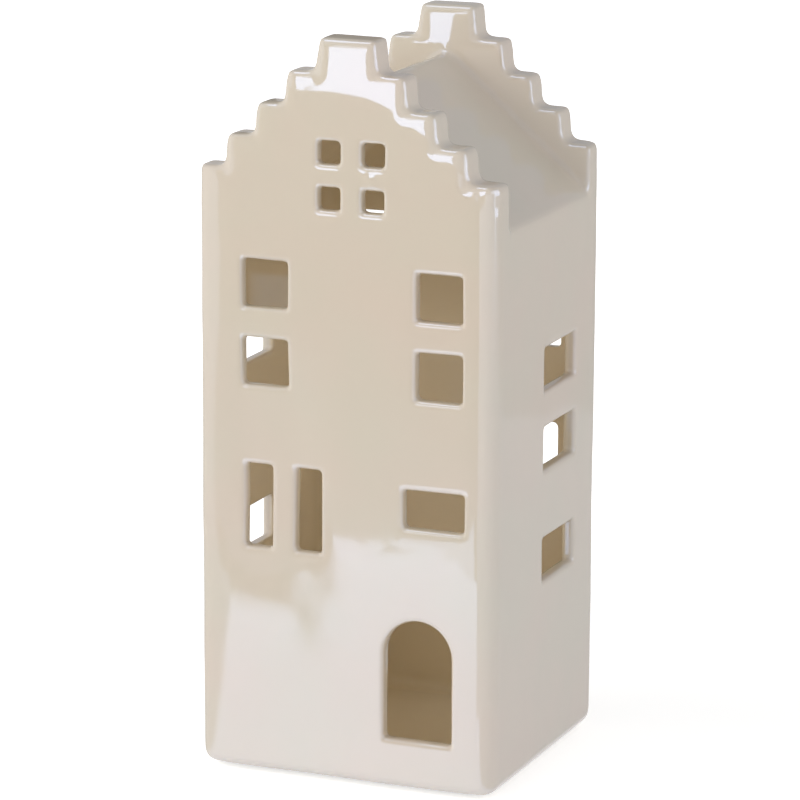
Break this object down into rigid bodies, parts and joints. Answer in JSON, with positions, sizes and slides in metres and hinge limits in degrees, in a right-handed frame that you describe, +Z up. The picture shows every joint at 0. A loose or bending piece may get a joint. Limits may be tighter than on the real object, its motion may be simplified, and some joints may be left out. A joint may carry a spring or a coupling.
{
  "type": "tealight house",
  "caption": "Glazed ceramic canal house with stepped gables and a saddle roof; a tealight inside shines through its open windows and arched door.",
  "frame": {"origin": "on the table under the middle of the base", "axes": "+Z up, -Y towards the front with the arched door, +X to the viewer's right"},
  "size_m": [0.097, 0.0904, 0.2288],
  "materials": {
    "house_glaze": "glossy pearl cream glaze",
    "pad_felt": "pressed wool felt"
  },
  "bodies": {
    "root": {"house_body": "house_glaze", "felt_pads": "pad_felt"}
  },
  "joints": []
}
